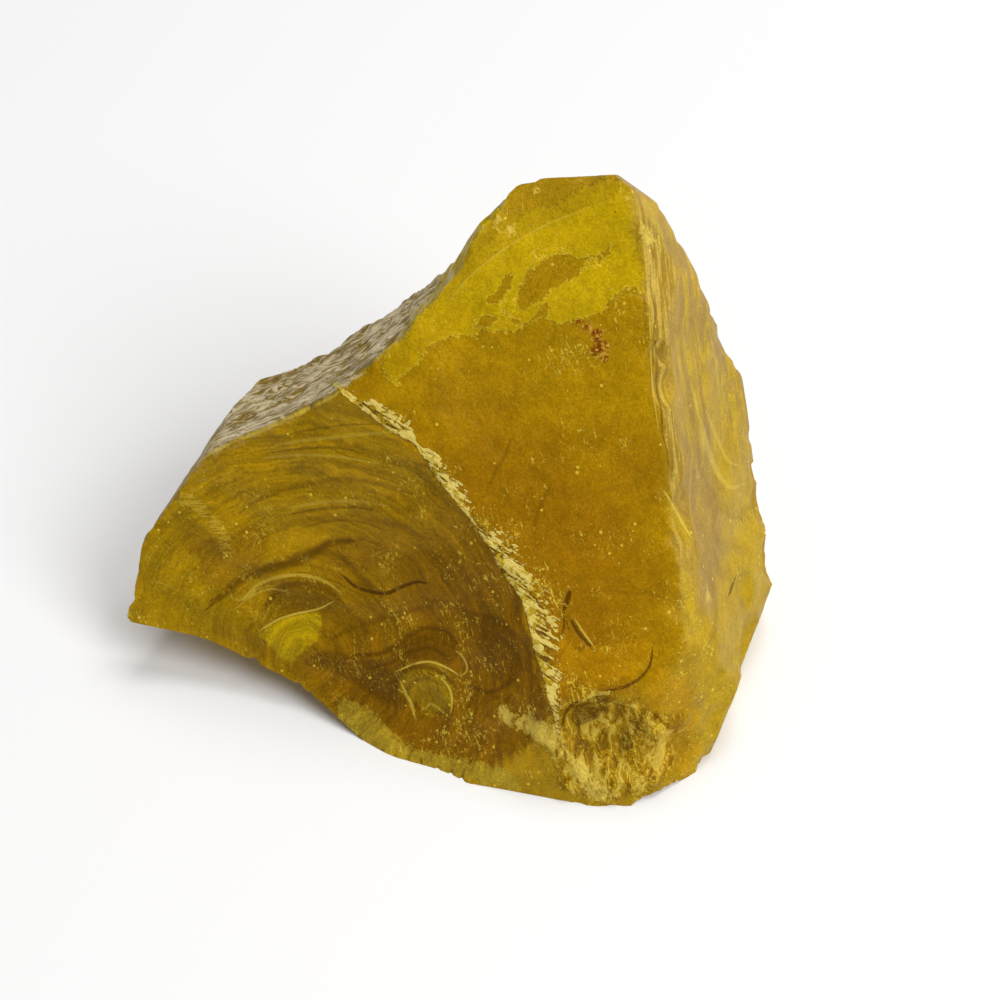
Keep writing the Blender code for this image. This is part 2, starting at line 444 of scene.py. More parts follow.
# chips knocked off along the ridges, sizes in mm
chipSizes = {
    "seed": 69, "count": 240, "radius": (0.9, 3.0), "depth": (0.05, 0.26), "smallPower": 3.5,
    "ridgeGap": 0.25, "clearOfBase": 0.6, "sharpBelow": 0.985, "lean": 0.35,
}


def strikeScars(rays, reach):
    normals = surfaceNormals(rays * reach[:, None], quads)
    for turn, tilt, radius, depth in namedScars.values():
        spot = np.argmax(rays @ facing(turn, tilt))
        out = normals[spot]
        scoop(rays, reach, heart + rays[spot] * reach[spot] + out * (radius - depth), radius)


def strikeChips(rays, reach, reaches):
    order = np.sort(reaches, 0)
    points = heart + rays * reach[:, None]
    ridge = order[1] - order[0] < chipSizes["ridgeGap"]
    onRidge = np.nonzero(ridge & (points[:, 2] > chipSizes["clearOfBase"]))[0]
    normals = surfaceNormals(points, quads)
    smooth = neighbourMean(normals, *edgeEnds(quads))
    sharp = onRidge[lengthOf(smooth[onRidge]) < chipSizes["sharpBelow"]]
    dice = np.random.default_rng(chipSizes["seed"])
    for spot in dice.choice(sharp, chipSizes["count"], replace=False):
        size = dice.random() ** chipSizes["smallPower"]
        radius, depth = (low + size * (high - low) for low, high in (chipSizes["radius"], chipSizes["depth"]))
        depth = min(depth, 0.4 * radius)
        lean = normals[spot] + chipSizes["lean"] * dice.normal(size=3)
        lean /= lengthOf(lean)
        scoop(rays, reach, points[spot] + lean * (radius - depth), radius)


def easeSteep(rays, reach):    # evens out the low front where it runs almost along the rays
    starts, ends = edgeEnds(quads)
    points = heart + rays * reach[:, None]
    low, high = np.array(stoneShape["easeBox"])
    lowFront = ((points > low) & (points < high)).all(1)
    for _ in range(stoneShape["easeRounds"]):
        share = (surfaceNormals(rays * reach[:, None], quads) * rays).sum(-1)
        steep = lowFront & (share < stoneShape["easeBelow"])
        reach[steep] = (np.bincount(starts, weights=reach[ends]) / np.bincount(starts))[steep]
    print("steep points evened out:", int(steep.sum()))


for _ in range(2):
    plain = breakReaches(rays)
    rays = slideToRidges(rays, quads, raisedReaches(rays, plain) - plain)
plain = breakReaches(rays)
reaches = raisedReaches(rays, plain)
print("relief worked out")
reach = meltedLowest(reaches, stoneShape["ridgeSoftness"])
strikeScars(rays, reach)
strikeChips(rays, reach, plain)
easeSteep(rays, reach)
points = heart + rays * reach[:, None]
points[:, 2] = np.maximum(points[:, 2], 0)
print("scars and chips struck")

# colour layout: how close each point is to each break, and to the lines and patches drawn on the stone
# spots are given in the camera's frame, across and down out of 1000, and land where the camera sees the stone there
# a line has half its width in mm and a strength from 0 to 1
darkLines = {
    "bandThin": (0.17, 1.0, [(343, 576), (356, 587), (373, 592), (387, 593), (401, 587), (416, 582), (426, 583)]),
    "fineOne": (0.11, 0.5, [(268, 453), (313, 448), (340, 448), (362, 453)]),
    "fineTwo": (0.13, 0.55, [(290, 514), (313, 510), (330, 508), (353, 507), (373, 510)]),
    "fineThree": (0.11, 0.4, [(300, 528), (330, 521), (360, 522), (385, 530)]),
    "fineFour": (0.10, 0.4, [(280, 436), (310, 430), (345, 425), (380, 424)]),
    # footArc is painted shadow under the overhanging edge of the foot hollow
    "footArc": (0.17, 0.9, [(652, 650), (650, 664), (642, 676), (629, 685), (610, 691), (592, 697), (577, 702),
        (566, 712), (562, 730)]),
    "crackUpper": (0.24, 1.0, [(570, 590), (567, 600), (564, 610)]),
    "crackLower": (0.17, 0.9, [(570, 619), (577, 631), (585, 641), (592, 648)]),
    "crackFork": (0.10, 0.7, [(560, 612), (564, 622), (562, 634)]),
    "ridgeDark": (0.09, 0.55, [(650, 268), (651, 290), (655, 312), (654, 335), (657, 360), (656, 385), (661, 410),
        (662, 432), (667, 452), (668, 470)]),
    "rightCrack": (0.10, 0.9, [(735, 577), (732, 586), (729, 596)]),
}
foldLines = {    # broader and softer
    "bandUpper": (0.42, 0.95, [(206, 607), (227, 590), (250, 574), (273, 567), (290, 562), (313, 553), (330, 543),
        (353, 541)]),
    # humpDark is painted shadow in the groove above the plate's lit edge
    "humpDark": (0.34, 0.85, [(262, 608), (272, 597), (279, 589), (290, 584), (307, 584), (327, 590), (340, 600)]),
    "humpTail": (0.25, 0.6, [(341, 556), (350, 566), (362, 580), (375, 588)]),
    "tipCurl": (0.35, 0.3, [(186, 520), (205, 532), (218, 550), (224, 568)]),
    "swirlLeft": (0.24, 0.9, [(356, 655), (378, 654), (397, 646), (412, 634), (428, 628), (446, 632), (457, 644)]),
    "swirlLow": (0.18, 0.8, [(372, 668), (392, 662), (410, 652), (430, 648), (444, 656)]),
    "swirlRight": (0.26, 0.8, [(499, 636), (514, 650), (519, 668), (508, 684), (488, 692), (470, 686)]),
    "swirlOuter": (0.18, 0.6, [(470, 612), (492, 618), (512, 632), (528, 652), (530, 674)]),
    "scallopRim": (0.24, 0.9, [(396, 712), (394, 690), (400, 674), (414, 668), (430, 668), (444, 675), (454, 686)]),
    "scallopIn": (0.16, 0.7, [(404, 712), (406, 694), (414, 682), (428, 678), (440, 686)]),
    # footArcIn is painted shadow inside the foot hollow
    "footArcIn": (0.10, 0.6, [(574, 727), (572, 716), (580, 706), (592, 701)]),
    "frontSeamOne": (0.16, 0.45, [(510, 440), (505, 455), (496, 470), (489, 486)]),
    "frontSeamTwo": (0.18, 0.45, [(550, 486), (541, 505), (533, 527)]),
    "frontSeamThree": (0.12, 0.25, [(612, 590), (628, 594), (646, 592), (664, 598)]),
    "rightFlow": (0.16, 0.25, [(690, 350), (702, 400), (712, 450), (716, 500), (712, 540), (722, 580)]),
    "ridgeFold": (0.14, 0.35, [(641, 288), (646, 312), (645, 338), (651, 362), (650, 392)]),
    "foldLong": (0.22, 0.45, [(236, 515), (262, 498), (300, 486), (340, 480), (380, 484), (412, 494)]),
    "foldLongTwo": (0.30, 0.40, [(246, 548), (275, 530), (310, 520), (350, 518), (392, 524), (430, 540)]),
    "foldTop": (0.20, 0.35, [(290, 462), (330, 462), (375, 470), (410, 480)]),
    "foldRight": (0.30, 0.45, [(430, 600), (455, 606), (480, 625), (492, 655)]),
    "foldLower": (0.24, 0.5, [(330, 640), (352, 628), (378, 620), (404, 612), (432, 606)]),
    "rightFold": (0.30, 0.30, [(676, 330), (688, 380), (694, 430), (706, 480), (722, 510), (742, 520)]),
    "rightArcOne": (0.45, 0.20, [(693, 470), (701, 490), (714, 503), (733, 511), (750, 508)]),
    "rightArcTwo": (0.55, 0.18, [(690, 503), (700, 528), (718, 545), (740, 549)]),
    "rightArcThree": (0.45, 0.18, [(695, 542), (706, 562), (724, 574), (747, 572)]),
    "rightFoldTwo": (0.22, 0.30, [(700, 560), (712, 590), (716, 620), (708, 650)]),
}
paleLines = {
    "tipRippleOne": (0.20, 0.50, [(181, 493), (198, 500), (215, 517), (227, 536), (231, 556)]),
    "tipRippleTwo": (0.12, 0.45, [(176, 501), (194, 509), (208, 524), (219, 541), (224, 556)]),
    "tipStreak": (0.09, 0.4, [(156, 544), (178, 552), (200, 560), (216, 570)]),
    "tipStreakTwo": (0.08, 0.4, [(150, 580), (168, 586), (190, 596)]),
    "humpLine": (0.15, 0.6, [(240, 599), (258, 585), (278, 577), (301, 575), (324, 581), (341, 593)]),
    "humpLineTwo": (0.10, 0.4, [(232, 611), (252, 596), (270, 589), (290, 592)]),
    "fineLight": (0.16, 0.35, [(272, 446), (300, 441), (344, 436), (392, 432)]),
    "fineLightTwo": (0.13, 0.35, [(262, 458), (300, 455), (340, 457), (380, 464)]),
    "fineLightThree": (0.15, 0.35, [(288, 508), (318, 503), (352, 501), (388, 506)]),
    # scallopEdge and scallopSide are painted highlights along the scallop's upper and right rims
    "scallopEdge": (0.10, 1.0, [(398, 671), (414, 664), (431, 662), (447, 668), (460, 676)]),
    "scallopCurl": (0.08, 0.8, [(456, 650), (464, 659), (467, 670), (460, 677)]),
    "scallopSide": (0.10, 0.9, [(441, 678), (449, 688), (452, 701), (450, 717)]),
    "scallopStreak": (0.12, 0.7, [(400, 680), (406, 694), (413, 708), (414, 724)]),
    "scallopStreakTwo": (0.10, 0.6, [(424, 712), (430, 704), (438, 708), (446, 716)]),
    # plateRim is a painted highlight along the top edge of the plate
    "plateRim": (0.09, 0.9, [(256, 633), (275, 621), (294, 614), (318, 609), (334, 601)]),
    "shoulderLip": (0.20, 0.8, [(201, 460), (214, 452), (230, 444), (256, 433), (293, 416), (330, 398),
        (340, 391)]),
    # bevelEdge is a painted highlight along the bevel's edge
    "bevelEdge": (0.10, 0.45, [(447, 303), (470, 276), (500, 252), (530, 233), (560, 219), (590, 207), (618, 196)]),
    "footRim": (0.09, 0.8, [(563, 726), (561, 742), (571, 757), (584, 768), (596, 784)]),
    "crackLight": (0.09, 0.9, [(574, 618), (581, 629), (589, 640), (595, 648)]),
    # ridgeLight is a painted highlight along the ridge
    "ridgeLight": (0.08, 0.8, [(643, 236), (647, 280), (650, 330), (652, 380), (658, 430)]),
    "rightCurl": (0.22, 0.55, [(700, 418), (707, 444), (716, 470), (729, 487), (743, 484)]),
    "rightCurlTwo": (0.12, 0.5, [(706, 410), (717, 438), (728, 460), (741, 467)]),
    "rightCurlThree": (0.12, 0.5, [(690, 380), (697, 408), (702, 430), (704, 452)]),
    "footGlint": (0.20, 1.0, [(586, 699), (596, 694), (611, 693)]),
    "chipEdge": (0.12, 1.0, [(663, 490), (673, 506), (683, 524), (693, 540)]),
}
# closed outlines of patches, drawn from spot to spot
patches = {
    "shell": [[(398, 385), (420, 362), (432, 346), (445, 338), (458, 335), (474, 338), (492, 331), (512, 334),
               (530, 325), (543, 318), (562, 323), (580, 320), (604, 314), (612, 300), (624, 296), (646, 290),
               (642, 236), (622, 178), (556, 200), (490, 238), (436, 294), (408, 325), (380, 365)]],
    "torn": [[(517, 308), (520, 283), (529, 269), (546, 259), (563, 252), (582, 256), (602, 253), (608, 240),
              (612, 244), (604, 260), (584, 265), (578, 276), (558, 284), (544, 296), (524, 312)],
             [(488, 302), (500, 290), (508, 274), (512, 276), (506, 292), (494, 304)],
             [(505, 306), (514, 318), (528, 321), (540, 308), (548, 302), (548, 312), (536, 324), (518, 325),
              (504, 312)],
             [(470, 331), (480, 320), (490, 314), (496, 318), (484, 328)],
             [(612, 300), (620, 292), (634, 288), (638, 296), (622, 302)]],
    "bevel": [[(448, 304), (470, 275), (500, 251), (530, 232), (560, 218), (590, 206), (620, 195), (618, 180),
               (560, 180), (520, 190), (486, 214), (470, 250), (440, 282)]],
    # plate: the ledge's own yellow, made lighter as painted light where it faces up
    "plate": [[(256, 634), (275, 622), (293, 615), (318, 611), (322, 628), (317, 641), (304, 651), (293, 664),
               (284, 661), (271, 649)]],
    "scallop": [[(395, 676), (414, 666), (431, 664), (447, 669), (454, 680), (454, 700), (451, 722), (441, 708),
                 (428, 718), (418, 706), (408, 700)]],
    "lip": [[(322, 684), (346, 699), (366, 706), (386, 724), (402, 742), (440, 754), (500, 768), (520, 790),
             (440, 778), (390, 762), (352, 742), (336, 706)]],
    # pale patches: the second, third and ninth outlines are painted highlights, the others whitish chalky patches
    "pale": [[(514, 722), (528, 712), (545, 722), (560, 728), (566, 750), (590, 766), (602, 783), (620, 796),
              (588, 800), (572, 768), (549, 748), (528, 737)],
             [(496, 712), (505, 706), (514, 714), (512, 726), (502, 724)],
             [(588, 697), (598, 692), (610, 692), (608, 697), (596, 699)],
             [(626, 728), (634, 722), (640, 728), (632, 736)],
             [(299, 556), (305, 554), (309, 558), (304, 561)],
             [(530, 188), (538, 186), (539, 194), (533, 197)],
             [(492, 216), (500, 212), (504, 222), (496, 228)],
             [(506, 228), (514, 226), (516, 234), (508, 238)],
             [(624, 192), (632, 194), (634, 204), (626, 204)],
             [(644, 222), (652, 232), (662, 243), (650, 246), (642, 238)],
             [(706, 590), (710, 594), (710, 602), (706, 600)]],
    # darker patches: the first outline is painted shadow in the foot hollow under its overhang, the others are darker
    # zones of the stone
    "darkPatchAndShadow": [[(571, 716), (578, 704), (592, 700), (610, 697), (606, 712), (590, 722), (576, 728)],
             [(617, 740), (624, 731), (634, 736), (630, 750), (620, 754)],
             [(300, 662), (322, 650), (350, 654), (380, 662), (398, 680), (398, 704), (384, 704), (362, 690),
              (336, 674)],
             [(398, 656), (412, 638), (430, 630), (448, 636), (458, 650), (452, 664), (430, 660), (412, 662)],
             [(482, 612), (505, 620), (518, 640), (520, 668), (506, 684), (490, 672), (478, 640)]],
    "brown": [[(272, 600), (282, 588), (300, 585), (322, 590), (338, 602), (330, 612), (300, 612), (280, 612)],
              [(380, 570), (420, 545), (470, 560), (500, 590), (500, 620), (460, 625), (410, 610)],
              [(190, 526), (205, 536), (218, 556), (216, 574), (196, 560), (182, 540)],
              [(318, 548), (340, 536), (368, 538), (392, 556), (372, 572), (346, 570)],
              [(200, 540), (236, 530), (262, 520), (268, 552), (240, 576), (206, 592), (196, 570)]],
    "amber": [[(640, 690), (668, 676), (690, 690), (696, 720), (696, 756), (670, 780), (640, 778), (624, 760),
               (640, 730)],
              [(560, 640), (600, 650), (640, 640), (660, 660), (620, 680), (580, 690), (560, 670)]],
    "lilac": [[(686, 462), (706, 468), (722, 500), (724, 560), (712, 620), (700, 600), (690, 540)],
              [(668, 380), (682, 372), (688, 410), (684, 450), (674, 440)]],
    "yellow": [[(664, 486), (676, 500), (692, 536), (690, 548), (676, 534), (666, 512)],
               [(744, 612), (764, 606), (760, 640), (744, 656), (738, 640)],
               [(700, 372), (716, 440), (724, 500), (740, 512), (742, 470), (728, 410), (712, 376)]],
}
rustSpots = [(586, 326, 0.8), (597, 334, 0.9), (603, 346, 0.9), (594, 352, 0.8), (578, 322, 0.5), (604, 358, 0.6)]
# the crushed edge between the front and the bowl: across, down and how wide it is there in mm
crushEdge = [(334, 385, 0.4), (358, 406, 0.8), (387, 427, 1.2), (407, 440, 1.1), (416, 444, 0.15),
             (427, 461, 0.9), (440, 480, 0.75), (456, 501, 1.1), (474, 522, 0.05), (480, 532, 0.9),
             (493, 553, 1.7), (507, 578, 1.9), (519, 595, 1.6), (527, 616, 1.9), (533, 640, 1.9), (540, 665, 1.4),
             (547, 690, 1.0), (553, 714, 0.5), (560, 736, 0.1)]
crushSlant = 32    # the fine scratches in it run down to the right at this angle when seen from above the front


def throughPoints(path, closeness=8):    # a smooth curve through the given spots
    given = np.array(path, float)
    given = np.concatenate([2 * given[:1] - given[1:2], given, 2 * given[-1:] - given[-2:-1]])
    share = np.linspace(0, 1, closeness, endpoint=False)[:, None]
    runs = []
    for before, here, there, after in zip(given, given[1:], given[2:], given[3:]):
        runs.append(0.5 * (2 * here + (there - before) * share
                           + (2 * before - 5 * here + 4 * there - after) * share**2
                           + (3 * here - before - 3 * there + after) * share**3))
    return np.concatenate([*runs, given[-2:-1]])


spotSize = cameraSetup["distance"] * cameraSetup["sensor"] / cameraSetup["lens"]    # mm to one of the thousand
lift = math.radians(cameraSetup["elevation"])
toEye, frameUp = np.array([0, -math.cos(lift), math.sin(lift)]), np.array([0, math.sin(lift), math.cos(lift)])


def frameSpots(points):    # where each point shows in the camera's frame, across and down in mm
    offset = points - np.array(cameraSetup["target"]) * 1000
    closer = cameraSetup["distance"] * 1000 / (cameraSetup["distance"] * 1000 - offset @ toEye)
    across, down = offset[:, 0] * closer + 500 * spotSize, 500 * spotSize - offset @ frameUp * closer
    return np.stack([across, down], -1)


frameAt = frameSpots(points)
facingEye = surfaceNormals(points, quads) @ toEye


farOff = 3.0    # lines and outlines aren't measured further away than this, in mm


def pointsAround(path, facingMore):    # the points that the camera sees in the box around a path
    inBox = ((frameAt > path.min(0) - farOff) & (frameAt < path.max(0) + farOff)).all(1)
    return np.nonzero(inBox & (facingEye > facingMore))[0]


def nearLine(line):    # distance to a line, how far along it, and on which side by how much
    near = pointsAround(line, 0.02)
    close = frameAt[near]
    gap, along, side = (np.full(len(close), start) for start in (farOff, 0.0, 1.0))
    done = 0.0
    for first, second in zip(line, line[1:]):
        run = second - first
        length = max(lengthOf(run), 1e-9)
        share = np.clip((close - first) @ run / length**2, 0, 1)
        offset = close - first - share[:, None] * run
        here = lengthOf(offset)
        closer = here < gap
        gap = np.where(closer, here, gap)
        along = np.where(closer, done + share * length, along)
        side = np.where(closer, (offset[:, 0] * run[1] - offset[:, 1] * run[0]) / length, side)
        done += length
    return near, gap, along, side, done


def drawnLines(lines):    # offset from the nearest line in half widths, how far past its reach, and strength
    across, beyond, depth = np.full(len(points), 9.0), np.full(len(points), 9.0), np.zeros(len(points))
    closest = np.full(len(points), 9.0)
    for half, strength, path in lines.values():
        near, gap, along, side, total = nearLine(throughPoints(path) * spotSize)
        taper = half * (0.25 + 0.75 * np.sqrt(np.clip(4 * along / total * (1 - along / total), 0, 1)))
        closer = gap / half < closest[near]
        near, gap, side, taper = near[closer], gap[closer], side[closer], taper[closer]
        closest[near] = gap / half
        across[near] = np.clip(np.sign(side) * gap / taper, -9, 9)
        beyond[near] = np.clip(gap - max(0.35, 1.5 * half), 0, farOff)
        depth[near] = strength
    return across, beyond, depth


def patchDepth(outlines):    # how far inside the nearest of some closed outlines, in mm, less than 0 outside
    closed = [throughPoints([*outline, outline[0]], 3)[:-1] * spotSize for outline in outlines]
    deepest = np.max([outlineDepth(ring) for ring in closed], 0)
    return np.minimum(deepest, np.maximum(facingEye * 12 - 0.5, -farOff))    # ends where the stone turns away


def outlineDepth(ring):
    near = pointsAround(ring, 0)
    flat = frameAt[near]
    gap = np.full(len(flat), farOff)
    turns = np.zeros(len(flat), bool)
    for first, second in zip(ring, np.roll(ring, -1, 0)):
        run = second - first
        share = np.clip((flat - first) @ run / max(run @ run, 1e-9), 0, 1)
        gap = np.minimum(gap, lengthOf(flat - first - share[:, None] * run))
        crosses = (first[1] > flat[:, 1]) != (second[1] > flat[:, 1])
        rise = run[1] if abs(run[1]) > 1e-9 else 1e-9
        turns ^= crosses & (flat[:, 0] < first[0] + (flat[:, 1] - first[1]) * run[0] / rise)
    depth = np.full(len(points), -farOff)
    depth[near] = np.where(turns, gap, -gap)
    return depth


def softSpots(spots):    # 1 at the middle of a spot, 0 from its radius outwards
    share = [1 - lengthOf(frameAt - np.array(spot[:2]) * spotSize) / spot[2] for spot in spots]
    return np.clip(np.max(share, 0), 0, 1) * (facingEye > 0)


def breakShares(names):
    weights = np.exp(-(reaches - reaches.min(0)) / stoneShape["shareSoftness"])
    weights /= weights.sum(0)
    return sum(weights[breakNames.index(name)] for name in names)


def crushMarks():    # how wide the crushed edge is, how far a point lies from it, and along and across its scratches
    path = throughPoints(crushEdge)
    line = path[:, :2] * spotSize
    near, gap, along, side, _ = nearLine(line)
    runs = np.concatenate([[0], np.cumsum(lengthOf(np.diff(line, axis=0)))])
    width, onFront = np.full(len(points), -farOff), np.where(breakShares(["front"]) > 0.5, 9.0, -9.0)
    close = gap < farOff
    width[near[close]] = np.interp(along[close], runs, path[:, 2])
    onFront[near[close]] = (np.sign(side) * gap)[close]
    slant = math.radians(crushSlant)
    run = np.array([math.cos(slant), 0, 0]) - math.sin(slant) * frameUp
    out = hollowOut[hollowNames.index("front")]
    run = run - toEye * (run @ out) / (toEye @ out)
    run /= lengthOf(run)
    return width, onFront, (points - heart) @ run, (points - heart) @ np.cross(out, run)


stoneMarks = {    # numbers that each point carries for the finish
    "onFront": breakShares(["front"]),
    "onBowl": breakShares(["bowl", "rimLow"]),
    "onShoulder": breakShares(["shoulder", "shoulderBack"]),
    "onRight": (breakShares(["right", "rightFoot", "crownCorner"])
                + breakShares(["nearCorner"]) * smoothStep(points[:, 0], 17.8, 19.2)),
    "onStrip": breakShares(["ridgeStrip"]),
    "inFoot": footShare(points),
    "rustSpot": softSpots(rustSpots),
}
for kind, lines in (("dark", darkLines), ("fold", foldLines), ("pale", paleLines)):
    stoneMarks.update(zip((kind + "Across", kind + "Beyond", kind + "Depth"), drawnLines(lines)))
stoneMarks.update(zip(("crushWidth", "crushFrom", "crushRun", "crushCross"), crushMarks()))
stoneMarks.update({name: patchDepth(outlines) for name, outlines in patches.items()})
print("colour layout worked out")


def splitAlongRidges(quads):    # each quad as two triangles, cut along the ridge where one runs through it
    order = np.sort(reaches, 0)
    fromRidge = np.minimum(order[1] - order[0], stoneShape["splitNear"])[quads]
    straight = fromRidge[:, 0] + fromRidge[:, 2] <= fromRidge[:, 1] + fromRidge[:, 3]
    firsts = np.where(straight[:, None], quads[:, [0, 1, 2]], quads[:, [1, 2, 3]])
    seconds = np.where(straight[:, None], quads[:, [0, 2, 3]], quads[:, [1, 3, 0]])
    return np.concatenate([firsts, seconds])


def addStone(points, faces, marks):
    mesh = bpy.data.meshes.new("roughTopaz")
    mesh.vertices.add(len(points))
    mesh.vertices.foreach_set("co", (points / 1000).astype(np.float32).ravel())
    mesh.loops.add(faces.size)
    mesh.loops.foreach_set("vertex_index", faces.astype(np.int32).ravel())
    mesh.polygons.add(len(faces))
    mesh.polygons.foreach_set("loop_start", np.arange(0, faces.size, 3, dtype=np.int32))
    mesh.update(calc_edges=True)
    mesh.validate()
    mesh.shade_smooth()
    mesh.set_sharp_from_angle(angle=math.radians(stoneShape["crispAngle"]))
    for name, values in marks.items():
        mesh.attributes.new(name, "FLOAT", "POINT").data.foreach_set("value", values.astype(np.float32))
    stone = bpy.data.objects.new("roughTopaz", mesh)
    bpy.context.scene.collection.objects.link(stone)
    return stone


stone = addStone(points, splitAlongRidges(quads), stoneMarks)
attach(stone, "root")
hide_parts("rough_topaz")
print("stone made")

# finish of the stone: colours as red, green, blue from 0 to 255 on screen
stoneFinish = {
    # shellRim is a painted highlight along the torn step edges
    "shell": (190, 157, 6), "shellRim": (224, 196, 54), "torn": (160, 123, 3), "bevel": (177, 144, 10),
    "crownSide": (192, 164, 20), "front": (152, 107, 2), "frontLow": (154, 107, 2), "frontUpper": (168, 129, 3),
    "bowl": (163, 126, 5), "bowlDeep": (134, 92, 4), "tip": (158, 123, 4),
    "shoulder": (218, 200, 158), "shoulderDeep": (142, 116, 46),
    "right": (186, 154, 36), "rightYellow": (176, 143, 18), "rightGrey": (164, 131, 54),
    "rightLine": (146, 112, 28), "strip": (190, 160, 66), "stripDark": (156, 122, 34), "other": (166, 130, 14),
    # footDeep is the dark between the foot's pale tongues, and the painted shadow in the foot hollow
    "footPale": (216, 188, 74), "footMiddle": (172, 130, 8), "footDeep": (104, 70, 3), "amber": (182, 133, 3),
    # crush is the crushed edge's whitish colour, brightened as painted highlight
    "crushAndSheen": (230, 206, 106), "crushMiddle": (190, 158, 34), "crushDeep": (104, 72, 4),
    "line": (78, 46, 2), "fold": (92, 60, 3), "pale": (208, 180, 66),
    "plate": (186, 154, 8), "scallop": (158, 126, 8), "brown": (124, 86, 6), "lilac": (160, 126, 62),
    # chalk colours the whitish patches, some of which are painted highlights
    "lip": (176, 150, 40), "chalkAndGlint": (216, 188, 78),
    # the next row starts with the colour of the painted glints and bright dots
    "paintedGlint": (232, 200, 64), "pit": (110, 76, 4), "rust": (116, 54, 4), "rustLight": (206, 152, 60),
    "ior": 1.42, "specular": 0.09, "crushRoughness": 0.15,
    "reliefUnit": 0.001, "reliefStrength": 0.8,    # the fine relief is in mm
}
# noises: repeats to the mm, then detail, roughness and bend
noises = {
    "cloudy": (0.20, 3, 0.55, 0.6), "mottled": (0.75, 4, 0.66, 0.25), "fine": (3.4, 3, 0.66, 0.0),
    "grain": (6.5, 1, 0.5, 0.0), "bands": (1.0, 4, 0.62, 0.3), "threads": (1.0, 2, 0.5, 0.0),
    "skin": (1.5, 4, 0.66, 0.7), "streaks": (1.0, 4, 0.55, 1.2), "grooves": (1.6, 3, 0.6, 0.0),
    "flames": (1.0, 4, 0.7, 0.5), "scratch": (1.0, 3, 0.60, 0.5), "lumps": (1.5, 3, 0.6, 0.8),
    "many": (0.30, 3, 0.6, 0.0), "chips": (2.9, 4, 0.72, 0.0), "strokes": (1.5, 3, 0.66, 0.0),
}
# drawn-out noises: how far they run across, along and out for each mm in x, y and z
drawnOut = {
    "skin": ((0.27, 0.03, 0.22), (0.15, 1.05, -0.33), (-0.6, 0.3, 0.68)),
    "streaks": ((0.22, 0.62, -0.40), (0.02, -0.09, -0.14), (0.5, 0, 0.1)),
    "grooves": ((-0.95, -0.98, 0.61), (-0.01, 0.06, 0.08)),
    "flames": ((1.3, 0, 0), (0.2, 0.9, -0.3), (0, 0, 0.6)),
    "strokes": ((1.1, 0.5, -0.8), (2.4, -1.7, 2.6)),
}
# smooth ramps: where they start and end, then the values there where those aren't 0 and 1; lengths in mm
ramps = {
    # upperFront and crownShell lighten the front towards the top, partly as painted light from above
    "upperFront": (18, 29), "lowFront": (14, 7), "rightFront": (11, 18, 0.0, 0.8),
    "crownShell": (27.5, 33, 0.45, 1.0),
    "shell": (-0.03, 0.05), "torn": (-0.02, 0.05), "bevel": (-0.03, 0.05),
    "shellRimOut": (-0.02, 0.03), "shellRimIn": (0.20, 0.04),
    "tornRimOut": (-0.14, -0.02), "tornRimIn": (0.04, -0.01),
    "bowlDeep": (-29, -6), "bands": (0.36, 0.62, 0.80, 1.12), "threads": (0.34, 0.66, 0.88, 1.10),
    "tip": (-14.5, -22),
    "skin": (0.43, 0.57), "skinTop": (29.5, 26.5), "skinTip": (-20.5, -17.0), "crownSide": (20, 26),
    "rightGrey": (0.42, 0.58), "rightYellow": (1.0, 2.2), "rightLine": (0.018, 0.0), "grooves": (0.44, 0.56),
    "lilac": (-0.3, 0.6), "stripEnd": (19, 15), "patch": (-0.12, 0.22), "darkPatchAndShadow": (-0.14, 0.20), "chalkAndGlint": (-0.10, 0.30),
    "flameMiddle": (0.42, 0.48), "flamePale": (0.51, 0.56), "foot": (0.30, 0.75),
    "deepGrain": (0.35, 0.62, 0.95, 0.65), "chalkGrain": (0.40, 0.52, 0.25, 0.8),
    "cloudyShade": (0.3, 0.7, 0.92, 1.07), "mottledShade": (0.3, 0.7, 0.89, 1.11),
    "fineShade": (0.3, 0.7, 0.92, 1.09), "grainShade": (0.30, 0.70, 0.89, 1.11),
    "crushReach": (-0.02, 0.08), "crushEdge": (-0.14, -0.02), "crushDark": (0.64, 0.70), "crushMiddle": (0.50, 0.42),
    "foldLine": (1.9, 0.1), "darkLine": (1.4, 0.4), "paleLine": (1.3, 0.5), "brokenLine": (0.34, 0.46, 0.45, 1.0),
    # the next ramps place the painted glints
    "paintedGlintLow": (26, 8, -0.04, 0.05), "paintedGlint": (0.652, 0.680), "paintedGlintRight": (0.0, 1.0, 1.0, 0.45),
    "bowlLeft": (0, -8), "paintedGlintBowl": (0.0, 1.0, 1.0, 0.5), "paintedGlintGrain": (0.35, 0.6, 0.30, 0.75),
    "dotSize": (0.26, 0.48, 0.0, 0.17), "dotEdge": (0.0, 0.04),
    "pitSize": (0.10, 0.04, 0.0, 0.10), "pitEdge": (0.0, 0.03),
    "rust": (0.30, 0.50), "rustFade": (0.0, 0.12), "rustGrain": (0.46, 0.56, 0.95, 0.35), "rustLight": (0.55, 0.60),
    "rough": (0.3, 0.7, 0.29, 0.44),
}
# patches with ragged edges: tone, how strong, and how far their edges wander
patchLooks = {
    "brown": ("brown", 0.55, 2.2), "amber": ("amber", 0.50, 3.4), "yellow": ("rightYellow", 0.60, 1.0),
    "lip": ("lip", 0.70, 1.4), "scallop": ("scallop", 0.75, 1.3), "plate": ("plate", 0.85, 0.6),
}
# drawn lines: tone, and how far they wander
lineLooks = {"fold": ("fold", 0.9), "dark": ("line", 0.6), "pale": ("pale", 0.6)}
